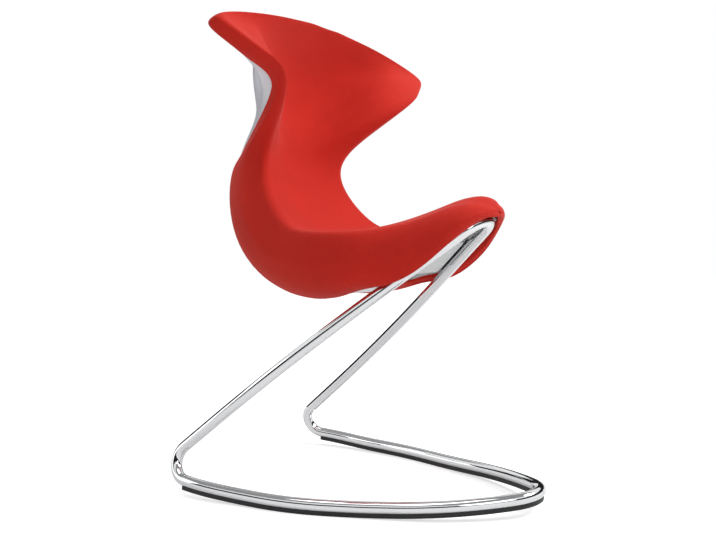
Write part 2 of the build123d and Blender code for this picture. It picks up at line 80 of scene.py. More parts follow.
# The outline at each station, half-widths as shares of HALF_WIDTH and depths
# behind the face as shares of BODY_DEPTH: ridge, bulge, rear edge of the
# cover, rear middle, the swell of the two flank arcs, then the shoulder
# where the dish of the face turns into its flat wing. Eleven rows depart from
# the part's, by up to 12 mm, at the wings, the waist and before the recess.
station_form_shares = [
    (0.22, 0.01, 0.225, 0.3, 0.18, 0.33, 0.335, 0.03, 0.01, 0.11, -0.01),
    (0.5, -0.405, 0.509, -0.1, 0.43, -0.03, 0.36, 0.04, 0.01, 0.33, -0.22),
    (0.77, -0.72, 0.78, -0.42, 0.57, -0.37, 0.38, 0.04, 0.01, 0.5, -0.56),
    (0.98, -0.97, 0.992, -0.69, 0.58, -0.6, 0.4, 0.04, 0.01, 0.56, -0.84),
    (0.99, -1.18, 1.0, -0.9, 0.545, -0.67, 0.42, 0.04, 0.01, 0.56, -1.0),
    (0.915, -1.38, 0.92, -1.09, 0.48, -0.72, 0.44, 0.03, 0.01, 0.5, -1.05),
    (0.825, -1.5, 0.82, -1.22, 0.42, -0.5, 0.47, 0.02, 0.02, 0.45, -0.97),
    (0.725, -1.57, 0.705, -1.33, 0.36, 0.0, 0.72, 0.02, 0.0, 0.38, -0.76),
    (0.615, -1.5, 0.593, -1.17, 0.3, 0.5, 0.92, 0.03, 0.03, 0.31, -0.5),
    (0.487, -0.86, 0.49, -0.42, 0.24, 0.8, 1.02, 0.05, 0.06, 0.24, -0.24),
    (0.398, -0.36, 0.405, 0.15, 0.18, 0.92, 1.02, 0.05, 0.08, 0.19, -0.1),
    (0.385, -0.22, 0.405, 0.25, 0.165, 1.0, 1.06, 0.05, 0.15, 0.18, -0.05),
    (0.43, -0.12, 0.47, 0.45, 0.135, 1.3, 1.36, 0.05, 0.26, 0.21, -0.03),
    (0.452, -0.12, 0.5, 0.45, 0.13, 1.27, 1.31, 0.05, 0.26, 0.23, -0.03),
    (0.494, -0.1, 0.518, 0.45, 0.15, 1.21, 1.24, 0.05, 0.26, 0.25, -0.025),
    (0.506, -0.09, 0.521, 0.45, 0.225, 1.08, 1.04, 0.05, 0.25, 0.25, -0.022),
    (0.48, 0.02, 0.495, 0.48, 0.33, 0.98, 0.93, 0.05, 0.16, 0.24, 0.005),
    (0.388, 0.11, 0.43, 0.6, 0.362, 1.08, 1.0, 0.06, 0.05, 0.19, 0.027),
    (0.321, 0.17, 0.378, 0.66, 0.332, 1.08, 1.0, 0.07, 0.04, 0.16, 0.042),
    (0.261, 0.17, 0.344, 0.62, 0.312, 0.97, 0.9, 0.08, 0.04, 0.13, 0.042),
    (0.218, 0.16, 0.311, 0.56, 0.285, 0.83, 0.78, 0.08, 0.04, 0.11, 0.04),
    (0.164, 0.14, 0.255, 0.44, 0.224, 0.59, 0.56, 0.07, 0.03, 0.08, 0.035),
    (0.104, 0.11, 0.17, 0.27, 0.136, 0.33, 0.31, 0.04, 0.02, 0.05, 0.027),
    (0.045, 0.05, 0.076, 0.12, 0.06, 0.19, 0.18, 0.02, 0.01, 0.022, 0.012),
]

# Recess under the pommel: depth as a share of SEAT_REACH, half-width as a
# share of HALF_WIDTH, heights of the side wall and the roof as shares of
# SEAT_HEIGHT
recess_shares = [
    (-0.027, 0.290, 0.464, 0.478),
    (-0.200, 0.334, 0.472, 0.486),
    (-0.330, 0.307, 0.497, 0.520),
    (-0.460, 0.288, 0.527, 0.556),
    (-0.553, 0.261, 0.551, 0.582),
    (-0.647, 0.200, 0.577, 0.603),
    (-0.713, 0.120, 0.588, 0.603),
    (-0.733, 0.080, 0.589, 0.598),
]

# How far the padding lifts the seat over the part's solid, in metres, at
# stations with fractions: up at the wings, down at the pommel
crown_stations = (0, 4, 6, 15, 16, 19, 21)
crown_lifts = (0.0045, 0.0045, 0.0, 0.0, -0.004, -0.004, 0.0)
CROWN_SMOOTHINGS = 3
REAR_LIFTED_TO = 7          # station from which the rear keeps its place

# Half outline of the cover: points along the dish, the wing and the two flank
# arcs, then along the three rounded corners between them
SPAN_POINTS = (9, 7, 5, 10)
CORNER_POINTS = (8, 6, 6)
LOWER_POINTS = SPAN_POINTS[-1]
ARC_POINTS = 41             # of each arc before it is cut to length
RIDGE_ROUND = 0.014         # run from the ridge to the start of its rounding
BULGE_ROUND = 0.016
ROUND_SHARE = 0.4           # of a run, at most, that a ridge or a bulge takes
UPPER_ROUND_SHARE = 0.42    # of the upper flank, which has a corner at each end
WING_SOFT_SHARE = 0.6       # of the wing, at most, that the shoulder takes
SHOULDER_STATIONS = (0, 2.5, 4, 6, 7.5, 23)
SHOULDER_ROUND_SHARES = (0.8, 0.65, 0.4, 0.4, 0.7, 0.8)  # of the shorter run beside it
HANDLE_SHARE = 0.42         # length of a corner's handles, of the gap it closes

# Rings along the seat: runs of (from, to, rings) in stations
FINE_STEPS = 2              # even rings to a station, from which all are read
SMOOTHINGS = 12
SMOOTHING_STEPS = (0.5, -0.53)  # in and out again, so that nothing shrinks
COVER_RUNS = ((0, 1, 12), (1, 15.5, 87), (15.5, 16.2, 20), (16.2, 22, 36))
END_RINGS = 14              # in the dense last run of the cover and of the shell

# Rounded ends of the cover: the way they point in degrees from +Z towards +Y,
# their height in metres, their rows, the angle at which the rounding begins
# and the power by which the thickness shrinks
TOP_END = (28, 0.003, 7, 20, 0.65)
NOSE_END = (-110, 0.0055, 9, 35, 1.0)
END_SIDE_DROP = 0.5         # share of the height that the sides of an end lose
NOSE_ROWS = 34              # rows at the nose that are evened out once more
NOSE_SMOOTHINGS = 40

# Hem of the cover, in metres
RIM_RUN = 0.0015            # last run of cloth before it turns in
RIM_POINTS = 5
RIM_DIP = 0.0006            # how far in the rim's last point lies
HEM_DEPTH = 0.002
HEM_FOLD = ((0.1, 0.5), (0.45, 1.0), (1.0, 1.0))  # shares of its depth and inset
HEM_CLOSING = (0.5, 0.8)    # stations over which it closes at the top and the nose
ROUND_POWER = 2.5           # of the rounded ends of hem, shell and recess

# Recess: the cloth turns in over the pan's edge
RECESS_REAR = -0.0081
RECESS_FRONT = -0.2212
RECESS_REAR_ROUND = 0.012
RECESS_FRONT_ROUND = 0.035
RECESS_HEM_SHARES = (0.95, 0.22)  # of the wall's height, at the front and the rear
RECESS_HEM_FULL = 0.06      # the front share holds this far behind the front
RECESS_HEM_INSET = 0.0045
RECESS_HEM_TURN = 0.003     # run over which the hem reaches its full depth
LEAST_WALL = 0.004
PAN_WALL = 0.003
PAN_FRONT = -0.203          # the cloth covers the rest of the front wall
PAN_FOOT_SHARE = 0.8        # of the hem's height, so that the foot hides behind it
PAN_CORNER = 0.012
PAN_CORNER_SHARE = 0.45     # of the run beside the corner, at most
PAN_ARC_POINTS = 31
PAN_POINTS = (10, 5, 6)     # along the roof, the corner and the wall
PAN_ROWS = 44
PAN_END_DROPS = (0.04, 0.12, 0.3, 0.65, 1.0)
PAN_END_SHARE = 0.7         # of the pan's wall, by which an end stands out
PAN_END_FULL = 0.25         # share of the drop by which it does so

# Rear shell, in stations and metres
SHELL_TOP_START = 0.25      # station at which the rear shell begins
SHELL_TOP_WIDE = 0.75       # station by which it has its full width
SHELL_TAPER = 13.2          # station at which the shell's tongue starts to close
SHELL_CLOSING = 15.0        # station from which its rings are dense
SHELL_LAST = 15.4
SHELL_RUNS = ((SHELL_TOP_START, SHELL_TOP_WIDE, 14), (SHELL_TOP_WIDE, SHELL_CLOSING, 84))
SHELL_FLANK = (0.9, 5.3, 7.4, 9.2)  # stations where the shell climbs the flank
SHELL_FLANK_SHARE = 0.95    # of the flank's lower arc, at most
GROOVE = 0.0012             # between the cover's hem and the rear shell
SHELL_SET_IN = 0.0006
SHELL_LEAST = 0.0005        # half-width at which its ends close
SHELL_POINTS = 23
SHELL_RIM_DEPTHS = (0.0017, 0.001, 0.0004)


# Curves and grids

def arc_points(start, middle, end, count):
    """Points on the arc from start through middle to end, both ends included."""
    start, middle, end = (np.array(p, float) for p in (start, middle, end))
    to_middle, to_end = middle - start, end - start
    twist = 2 * (to_middle[0] * to_end[1] - to_middle[1] * to_end[0])
    steps = np.linspace(0, 1, count)
    if abs(twist) < 1e-9:
        return start + to_end * steps[:, None]
    square_m, square_e = to_middle @ to_middle, to_end @ to_end
    centre = start + np.array([
        to_end[1] * square_m - to_middle[1] * square_e,
        to_middle[0] * square_e - to_end[0] * square_m,
    ]) / twist
    radius = np.linalg.norm(start - centre)
    first = np.arctan2(start[1] - centre[1], start[0] - centre[0])
    mid = np.arctan2(middle[1] - centre[1], middle[0] - centre[0])
    last = np.arctan2(end[1] - centre[1], end[0] - centre[0])
    turn = (last - first) % (2 * pi)
    if (mid - first) % (2 * pi) > turn:
        turn -= 2 * pi
    angles = first + turn * steps
    return centre + radius * np.stack([np.cos(angles), np.sin(angles)], 1)


def swell_middle(start, end, swell):
    """Middle of an arc that swells outwards, to +X, from its chord."""
    way = (end - start) / np.linalg.norm(end - start)
    outward = np.array([way[1], -way[0]])
    if outward[0] < 0:
        outward = -outward
    return (start + end) / 2 + outward * swell


def run_length(line):
    """Length of a line of points."""
    return np.linalg.norm(np.diff(line, axis=0), axis=1).sum()


def stretch(line, start, stop, count):
    """Evenly spaced points of a line between two lengths along it."""
    lengths = np.r_[0, np.cumsum(np.linalg.norm(np.diff(line, axis=0), axis=1))]
    wanted = np.linspace(start, stop, count)
    return np.stack([np.interp(wanted, lengths, line[:, i]) for i in range(line.shape[1])], 1)


def blend_corner(before, after, count):
    """Points of a smooth curve that joins two lines, both ends left out."""
    first, last = before[-1], after[0]
    gap = np.linalg.norm(last - first)
    way_in = (before[-1] - before[-2]) / np.linalg.norm(before[-1] - before[-2])
    way_out = (after[1] - after[0]) / np.linalg.norm(after[1] - after[0])
    handle_1, handle_2 = first + way_in * gap * HANDLE_SHARE, last - way_out * gap * HANDLE_SHARE
    t = np.linspace(0, 1, count + 2)[1:-1, None]
    return (
        first * (1 - t) ** 3 + handle_1 * 3 * t * (1 - t) ** 2
        + handle_2 * 3 * t**2 * (1 - t) + last * t**3
    )


def spline_rows(rows, marks, wanted):
    """Natural cubic spline through rows of points, read at the wanted marks."""
    count = len(marks)
    steps = np.diff(marks)
    matrix, slopes = np.eye(count), np.zeros_like(rows)
    for i in range(1, count - 1):
        matrix[i, i - 1 : i + 2] = steps[i - 1], 2 * (steps[i - 1] + steps[i]), steps[i]
        slope_before = (rows[i] - rows[i - 1]) / steps[i - 1]
        slopes[i] = 6 * ((rows[i + 1] - rows[i]) / steps[i] - slope_before)
    bends = np.linalg.solve(matrix, slopes.reshape(count, -1)).reshape(rows.shape)
    found = []
    for mark in wanted:
        i = min(max(int(np.searchsorted(marks, mark)) - 1, 0), count - 2)
        a, b, h = marks[i + 1] - mark, mark - marks[i], steps[i]
        found.append(
            bends[i] * a**3 / (6 * h) + bends[i + 1] * b**3 / (6 * h)
            + (rows[i] / h - bends[i] * h / 6) * a + (rows[i + 1] / h - bends[i + 1] * h / 6) * b
        )
    return np.array(found)


def grid_object(name, rows):
    """Smooth mesh object through rows of points."""
    mesh = bpy.data.meshes.new(name)
    count, width = len(rows), len(rows[0])
    points = [tuple(p) for row in rows for p in row]
    faces = [
        (r * width + c, r * width + c + 1, (r + 1) * width + c + 1, (r + 1) * width + c)
        for r in range(count - 1) for c in range(width - 1)
    ]
    mesh.from_pydata(points, [], faces)
    shape = bmesh.new()
    shape.from_mesh(mesh)
    bmesh.ops.remove_doubles(shape, verts=shape.verts, dist=1e-5)
    bmesh.ops.recalc_face_normals(shape, faces=shape.faces)
    shape.to_mesh(mesh)
    shape.free()
    mesh.shade_smooth()
    piece = bpy.data.objects.new(name, mesh)
    bpy.context.scene.collection.objects.link(piece)
    return piece


# The seat's rings

def half_section(form, softness):
    """Half outline from the face's middle to the cover's rear edge, and the rear half.

    softness is the share of the shorter run beside the shoulder that its
    rounding takes.
    """
    size = np.array([HALF_WIDTH, BODY_DEPTH])
    ridge, bulge, edge, shoulder = (
        np.array(form[i : i + 2]) * size for i in (0, 2, 4, 9)
    )
    rear = np.array([0, form[6] * BODY_DEPTH])
    mirror = np.array([-1, 1])
    count, whole = ARC_POINTS, 2 * ARC_POINTS - 1
    dish = arc_points(shoulder * mirror, (0, 0), shoulder, whole)[count - 1 :]
    wing = np.linspace(shoulder, ridge, count)
    upper = arc_points(ridge, swell_middle(ridge, bulge, form[7] * BODY_DEPTH), bulge, count)
    lower = arc_points(bulge, swell_middle(bulge, edge, form[8] * BODY_DEPTH), edge, count)
    behind = arc_points(edge, rear, edge * mirror, whole)[:count]
    spans = [run_length(line) for line in (dish, wing, upper, lower)]
    soft = softness * min(spans[0], spans[1])
    crest = min(RIDGE_ROUND, ROUND_SHARE * spans[1], UPPER_ROUND_SHARE * spans[2])
    belly = min(BULGE_ROUND, UPPER_ROUND_SHARE * spans[2], ROUND_SHARE * spans[3])
    wing_start = min(soft, WING_SOFT_SHARE * (spans[1] - crest))
    starts = (0, wing_start, crest, belly)
    stops = (spans[0] - soft, spans[1] - crest, spans[2] - belly, spans[3])
    parts = [
        stretch(*run) for run in zip((dish, wing, upper, lower), starts, stops, SPAN_POINTS)
    ]
    outline = [parts[0]]
    for before, after, points in zip(parts, parts[1:], CORNER_POINTS):
        outline += [blend_corner(before, after, points), after]
    return np.vstack(outline), behind


def placed(points, station):
    """Points of a section put at its station."""
    y, z, tilt = station
    tilt = radians(tilt)
    return np.stack([
        points[:, 0],
        y * SEAT_REACH + points[:, 1] * cos(tilt),
        z * SEAT_HEIGHT - points[:, 1] * sin(tilt),
    ], 1)


sections = [
    half_section(form, np.interp(index, SHOULDER_STATIONS, SHOULDER_ROUND_SHARES))
    for index, form in enumerate(station_form_shares)
]
fronts = np.array([placed(s[0], p) for s, p in zip(sections, station_place_shares)])
rears = np.array([placed(s[1], p) for s, p in zip(sections, station_place_shares)])
station_count = len(fronts)
step_lengths = np.linalg.norm(np.diff(fronts, axis=0), axis=2).mean(1)
marks = np.r_[0, np.cumsum(np.sqrt(step_lengths))]


def smoothed(rows, passes):
    """Rows evened out along the seat without shrinking, with both ends kept."""
    for _ in range(passes):
        for share in SMOOTHING_STEPS:
            bend = (rows[:-2] + rows[2:]) / 2 - rows[1:-1]
            rows = np.concatenate([rows[:1], rows[1:-1] + share * bend, rows[-1:]])
    return rows


last = station_count - 1
fine_stations = np.linspace(0, last, last * FINE_STEPS + 1)
fine_marks = np.interp(fine_stations, np.arange(station_count), marks)
fine_fronts = smoothed(spline_rows(fronts, marks, fine_marks), SMOOTHINGS)
fine_lifts = np.interp(fine_stations, crown_stations, crown_lifts)[:, None]
fine_lifts = smoothed(fine_lifts, CROWN_SMOOTHINGS)
fine_fronts[:, :, 2] += fine_lifts
fine_rears = smoothed(spline_rows(rears, marks, fine_marks), SMOOTHINGS)
fine_rears[:, :, 2] += fine_lifts * (fine_stations < REAR_LIFTED_TO)[:, None]


def rings_at(stations):
    """Front and rear half rings at stations given as numbers with fractions."""
    return (
        spline_rows(fine_fronts, fine_stations, stations),
        spline_rows(fine_rears, fine_stations, stations),
    )


def station_runs(runs, end):
    """Stations of runs of (from, to, rings), and of a dense run to the end."""
    parts = [np.linspace(start, stop, rings, endpoint=False) for start, stop, rings in runs]
    return np.concatenate([*parts, np.linspace(runs[-1][1], end, END_RINGS)])


# Depth, half-width, side height and roof height of the recess, from its front
recess_sizes = np.array(recess_shares)[::-1] * (SEAT_REACH, HALF_WIDTH, SEAT_HEIGHT, SEAT_HEIGHT)


def recess_at(y):
    """Half-width, side height and roof height of the recess."""
    return [np.interp(y, recess_sizes[:, 0], recess_sizes[:, i]) for i in (1, 2, 3)]


def recess_hem_share(y):
    """Share of the recess wall's height that the cloth covers."""
    return np.interp(y, (RECESS_FRONT + RECESS_HEM_FULL, RECESS_REAR), RECESS_HEM_SHARES)


def rounded_share(share):
    """Width of a rounded end, from 0 at its tip to 1."""
    share = min(max(share, 0.0), 1.0)
    return (1 - (1 - share) ** ROUND_POWER) ** (1 / ROUND_POWER)


def hem_half_width(station, y, edge_x):
    """Half-width at which the cover's hem turns into the body."""
    if y < RECESS_REAR:
        half = recess_at(y)[0]
        half *= rounded_share((y - RECESS_FRONT) / RECESS_FRONT_ROUND)
        half *= rounded_share((RECESS_REAR - y) / RECESS_REAR_ROUND)
        return min(half, edge_x)
    top = rounded_share((station - SHELL_TOP_START) / (SHELL_TOP_WIDE - SHELL_TOP_START))
    tongue = rounded_share((SHELL_LAST - station) / (SHELL_LAST - SHELL_TAPER))
    return (edge_x - GROOVE) * top * tongue


def inward_way(line, front, rear):
    """Way into the body, square to a line that runs from the flank to the rear middle."""
    behind = (rear[-1] - front[0]) / np.linalg.norm(rear[-1] - front[0])
    along = np.cross((1.0, 0.0, 0.0), behind)
    ways = np.cross(along, np.gradient(line, axis=0))
    return ways / np.maximum(np.linalg.norm(ways, axis=1), 1e-12)[:, None]


def hem_line(station, front, rear):
    """Line from the lower flank to the rear middle, with the runs to its hem and edge."""
    line = np.vstack([front[-LOWER_POINTS:], rear[1:]])
    edge = front[-1]
    half = hem_half_width(station, edge[1], edge[0])
    lengths = np.r_[0, np.cumsum(np.linalg.norm(np.diff(line, axis=0), axis=1))]
    flank = lengths[LOWER_POINTS - 1]
    behind = np.interp(-half, -rear[:, 0], lengths[LOWER_POINTS - 1 :])
    climb = np.interp(station, SHELL_FLANK, (0, 1, 1, 0))
    climb = SHELL_FLANK_SHARE * climb**2 * (3 - 2 * climb)
    return line, behind - flank * climb, flank


def cover_ring(station, front, rear):
    """Half ring of the cover, from the face's middle to the end of its hem."""
    line, hem, flank = hem_line(station, front, rear)
    rim_start = min(flank, hem - RIM_RUN)
    lower = stretch(line, 0, rim_start, LOWER_POINTS)
    rim = stretch(line, rim_start, hem, RIM_POINTS)[1:]
    y = front[-1, 1]
    inward = inward_way(np.vstack([lower, rim]), front, rear)[-1]
    rim[-1] = rim[-1] + inward * RIM_DIP
    depth, inset = HEM_DEPTH, 0.0
    if y < RECESS_REAR:
        wall = recess_at(y)[1] - rim[-1][2]
        turned_in = min((RECESS_REAR - y) / RECESS_HEM_TURN, 1.0)
        depth += (max(wall, LEAST_WALL) * recess_hem_share(y) - HEM_DEPTH) * turned_in
        inset = min(RECESS_HEM_INSET, rim[-1][0]) * turned_in
    to_top, to_nose = station / HEM_CLOSING[0], (last - station) / HEM_CLOSING[1]
    depth *= rounded_share(to_nose) * rounded_share(to_top)
    fold = [
        rim[-1] + inward * depth * down - np.array([inset * aside, 0, 0])
        for down, aside in HEM_FOLD
    ]
    return np.vstack([front[:-LOWER_POINTS], lower, rim, fold])


def cap_rows(ring, way, height, count, start, thin):
    """Rows that close an end of the seat with a rounded edge.

    The rounding begins at a start angle, so that it goes on from the seat's own
    slope there; thin is the power by which the thickness shrinks.
    """
    outward = np.array([0, sin(radians(way)), cos(radians(way))])
    middle = (ring.min(0) + ring.max(0)) / 2
    across = np.abs(ring[:, :1]) / np.abs(ring[:, 0]).max()
    rows = []
    for angle in np.linspace(radians(start), pi / 2, count + 1)[1:]:
        shrink = max(cos(angle), 0.0) / cos(radians(start))
        rise = height * (sin(angle) - sin(radians(start))) / (1 - sin(radians(start)))
        scale = (shrink, shrink**thin, shrink**thin)
        rise *= 1 - across**2 * END_SIDE_DROP
        rows.append(middle + (ring - middle) * scale + outward * rise)
    return rows


def both_sides(half):
    """A whole row from its half, which starts on the middle."""
    return np.vstack([half[:0:-1] * (-1, 1, 1), half])


# Seat cover in red cloth
cover_stations = station_runs(COVER_RUNS, last)
half_rows = [cover_ring(*ring) for ring in zip(cover_stations, *rings_at(cover_stations))]
cover_rows = [both_sides(half) for half in half_rows]
top_rows = cap_rows(cover_rows[0], *TOP_END)[::-1]
nose_rows = cap_rows(cover_rows[-1], *NOSE_END)
seat_rows = np.array(top_rows + cover_rows + nose_rows)
seat_rows[-NOSE_ROWS:] = smoothed(seat_rows[-NOSE_ROWS:], NOSE_SMOOTHINGS)
seat_fabric = grid_object("seat_fabric", seat_rows)
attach(seat_fabric, "root")
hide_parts("seat_cover", "seat_foam")

# White rear shell, set into the cover's rear opening
shell_stations = station_runs(SHELL_RUNS, SHELL_LAST)
shell_rows = []
for station, front, rear in zip(shell_stations, *rings_at(shell_stations)):
    line, hem, _ = hem_line(station, front, rear)
    whole = run_length(line)
    start = min(hem + GROOVE, whole - SHELL_LEAST)
    if station in shell_stations[[0, -1]]:
        start = whole - SHELL_LEAST
    row = stretch(line, start, whole, SHELL_POINTS)
    inward = inward_way(row, front, rear)
    row = row + inward * SHELL_SET_IN
    row[-1, 0] = 0
    rim = [row[0] + inward[0] * depth for depth in SHELL_RIM_DEPTHS]
    shell_rows.append(both_sides(np.vstack([rim, row])[::-1]))
rear_shell = grid_object("rear_shell", shell_rows)
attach(rear_shell, "root")
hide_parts("back_shell")

# Moulded pan that lines the recess
cover_rims = [half[-1 - len(HEM_FOLD)] for half in half_rows]
rim_ys, rim_zs = zip(*sorted(
    (rim[1], rim[2]) for rim in cover_rims if RECESS_FRONT < rim[1] < RECESS_REAR
))


def pan_half(y):
    """Half row of the pan, from the roof's middle down its side wall."""
    half, side, roof = recess_at(y)
    rim = np.interp(y, rim_ys, rim_zs)
    foot = rim + max(PAN_WALL, PAN_FOOT_SHARE * recess_hem_share(y) * (side - rim))
    half, side, roof = half - PAN_WALL, side - PAN_WALL, roof - PAN_WALL
    roof_arc = arc_points((-half, side), (0, roof), (half, side), 2 * PAN_ARC_POINTS - 1)
    roof_line = roof_arc[PAN_ARC_POINTS - 1 :]
    wall = np.linspace((half, side), (half, foot), PAN_ARC_POINTS)
    runs = run_length(roof_line), run_length(wall)
    reach = min(PAN_CORNER, *(PAN_CORNER_SHARE * run for run in runs))
    roof_points, corner_points, wall_points = PAN_POINTS
    top = stretch(roof_line, 0, runs[0] - reach, roof_points)
    down = stretch(wall, reach, runs[1], wall_points)
    line = np.vstack([top, blend_corner(top, down, corner_points), down])
    return np.stack([line[:, 0], np.full(len(line), y), line[:, 1]], 1)


pan_ys = np.linspace(recess_sizes[-1][0] - PAN_WALL, PAN_FRONT, PAN_ROWS)
pan_rows = [both_sides(pan_half(y)) for y in pan_ys]


def end_wall(row, outward):
    """Rows that fold an end of the pan down into an upright wall."""
    foot = row[:, 2].min()
    rows = []
    for drop in PAN_END_DROPS:
        lower = row.copy()
        lower[:, 2] = row[:, 2] - (row[:, 2] - foot) * drop
        reach = PAN_END_SHARE * min(drop / PAN_END_FULL, 1) ** 0.5
        lower[:, 1] = row[:, 1] + outward * PAN_WALL * reach
        rows.append(lower)
    return rows


pan_rows = end_wall(pan_rows[0], 1)[::-1] + pan_rows + end_wall(pan_rows[-1], -1)
recess_liner = grid_object("recess_liner", pan_rows)
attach(recess_liner, "root")
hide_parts("recess_pan")


# Materials

def new_material(name, color, roughness):
    """A fresh material with its main shader."""
    material = bpy.data.materials.new(name)
    material.use_nodes = True
    shader = material.node_tree.nodes["Principled BSDF"]
    shader.inputs["Base Color"].default_value = (*color, 1)
    shader.inputs["Roughness"].default_value = roughness
    return material, shader


def node(material, kind, **values):
    """A node with some of its sockets set by name."""
    made = material.node_tree.nodes.new(kind)
    for key, value in values.items():
        made.inputs[key.replace("_", " ")].default_value = value
    return made


def link(material, source, target):
    """Join two sockets of a material."""
    material.node_tree.links.new(source, target)


def noise(material, scale, detail=3.0):
    """Noise over the object's own coordinates."""
    coordinates = material.node_tree.nodes.new("ShaderNodeTexCoord")
    made = node(material, "ShaderNodeTexNoise", Scale=scale, Detail=detail)
    link(material, coordinates.outputs["Object"], made.inputs["Vector"])
    return made


def color_ramp(material, source, stops):
    """A colour ramp on a factor."""
    ramp = material.node_tree.nodes.new("ShaderNodeValToRGB")
    for element, (position, color) in zip(ramp.color_ramp.elements, stops):
        element.position = position
        element.color = (*color, 1)
    link(material, source, ramp.inputs["Fac"])
    return ramp.outputs["Color"]


def bump(material, shader, source, strength, distance):
    """Surface relief from a height, on top of any that is there."""
    made = node(material, "ShaderNodeBump", Strength=strength, Distance=distance)
    link(material, source, made.inputs["Height"])
    before = shader.inputs["Normal"]
    if before.is_linked:
        link(material, before.links[0].from_socket, made.inputs["Normal"])
    link(material, made.outputs["Normal"], shader.inputs["Normal"])


def roughness_range(material, shader, source, low, high):
    """Roughness that varies between two values."""
    spread = node(material, "ShaderNodeMapRange", To_Min=low, To_Max=high)
    link(material, source, spread.inputs["Value"])
    link(material, spread.outputs["Result"], shader.inputs["Roughness"])


def cloth_material():
    """Knitted wool cloth in red, with a fine grain and a soft bloom."""
    material, shader = new_material("red_wool", (0.62, 0.02, 0.012), 0.85)
    broad = noise(material, 14.0, 4.0)
    fine = noise(material, 1100.0, 2.0)
    base = color_ramp(material, fine.outputs["Fac"], [
        (0.3, (0.56, 0.018, 0.010)), (0.7, (0.70, 0.030, 0.017)),
    ])
    tint = color_ramp(material, broad.outputs["Fac"], [
        (0.3, (0.93, 0.93, 0.93)), (0.7, (1.0, 1.0, 1.0)),
    ])
    mixed = material.node_tree.nodes.new("ShaderNodeMixRGB")
    mixed.blend_type = "MULTIPLY"
    mixed.inputs["Fac"].default_value = 1.0
    link(material, base, mixed.inputs["Color1"])
    link(material, tint, mixed.inputs["Color2"])
    link(material, mixed.outputs["Color"], shader.inputs["Base Color"])
    coordinates = material.node_tree.nodes.new("ShaderNodeTexCoord")
    knit = node(material, "ShaderNodeTexVoronoi", Scale=620.0)
    link(material, coordinates.outputs["Object"], knit.inputs["Vector"])
    bump(material, shader, knit.outputs["Distance"], 0.35, 0.0006)
    bump(material, shader, fine.outputs["Fac"], 0.3, 0.0004)
    shader.inputs["Specular IOR Level"].default_value = 0.15
    shader.inputs["Sheen Weight"].default_value = 0.22
    shader.inputs["Sheen Roughness"].default_value = 0.45
    shader.inputs["Sheen Tint"].default_value = (1.0, 0.45, 0.4, 1)
    return material


def chrome_material():
    """Polished plating with faint polishing marks."""
    material, shader = new_material("polished_chrome", (0.76, 0.77, 0.78), 0.05)
    scratches = noise(material, 60.0, 5.0)
    roughness_range(material, shader, scratches.outputs["Fac"], 0.03, 0.09)
    bump(material, shader, scratches.outputs["Fac"], 0.02, 0.0005)
    shader.inputs["Metallic"].default_value = 1.0
    return material


def plastic_material(name, low, high, roughness, grain):
    """Moulded plastic with a fine grain and slight tone variation."""
    material, shader = new_material(name, high, roughness)
    broad = noise(material, 9.0, 3.0)
    fine = noise(material, grain, 2.0)
    color = color_ramp(material, broad.outputs["Fac"], [(0.35, low), (0.65, high)])
    link(material, color, shader.inputs["Base Color"])
    roughness_range(material, shader, fine.outputs["Fac"], roughness - 0.06, roughness + 0.08)
    bump(material, shader, fine.outputs["Fac"], 0.12, 0.0003)
    return material


def steel_material():
    """Plain steel with a brushed finish."""
    material, shader = new_material("plain_steel", (0.6, 0.61, 0.62), 0.3)
    brushed = noise(material, 240.0, 4.0)
    roughness_range(material, shader, brushed.outputs["Fac"], 0.22, 0.4)
    bump(material, shader, brushed.outputs["Fac"], 0.08, 0.0003)
    shader.inputs["Metallic"].default_value = 1.0
    return material


cloth = cloth_material()
chrome = chrome_material()
steel = steel_material()
white_shell = plastic_material("white_shell", (0.74, 0.74, 0.79), (0.79, 0.79, 0.83), 0.34, 900.0)
grey_pan = plastic_material("grey_pan", (0.62, 0.64, 0.64), (0.68, 0.7, 0.69), 0.4, 800.0)
black_glide = plastic_material(
    "black_glide", (0.006, 0.006, 0.006), (0.011, 0.011, 0.012), 0.5, 700.0,
)
core_plastic = plastic_material("core_plastic", (0.2, 0.2, 0.21), (0.26, 0.26, 0.27), 0.5, 700.0)

piece_materials = {
    "seat_fabric": cloth, "rear_shell": white_shell, "recess_liner": grey_pan,
    "frame_tube": chrome, "joint_sleeve": steel, "right_glide_strip": black_glide,
    "left_glide_strip": black_glide, "glide_pins": black_glide, "core_shell": core_plastic,
    "mounting_plate": steel, "cover_plate": grey_pan, "mounting_screws": steel,
    "threaded_inserts": steel,
}
for name, material in piece_materials.items():
    piece = bpy.data.objects[name]
    piece.data.materials.clear()
    piece.data.materials.append(material)

# Floor, white and matt: it shows white to the camera and dimmed in the chrome,
# keeps the chair's faint shadow, and is see-through from below
FLOOR_HALF = 8.0
FLOOR_GLOW_RUN = (0.45, 1.3)    # distance from the middle over which it brightens
FLOOR_GLOW = (0.6, 0.95)
FLOOR_MIRRORED = 0.3            # share of the glow that the chrome sees
bpy.ops.mesh.primitive_plane_add(size=2 * FLOOR_HALF, location=(0, 0, 0))
floor = bpy.context.object
floor.name = "floor"
floor_material, floor_shader = new_material("studio_floor", (0.9, 0.9, 0.9), 0.7)
floor_grain = noise(floor_material, 3.0, 2.0)
floor_color = color_ramp(floor_material, floor_grain.outputs["Fac"], [
    (0.3, (0.79, 0.79, 0.79)), (0.7, (0.81, 0.81, 0.81)),
])
link(floor_material, floor_color, floor_shader.inputs["Base Color"])
floor_shader.inputs["Specular IOR Level"].default_value = 0.0
floor_shader.inputs["Emission Color"].default_value = (1, 1, 1, 1)


def math_node(tree, kind, operation):
    """A node that calculates, with its operation."""
    made = tree.nodes.new(kind)
    made.operation = operation
    return made


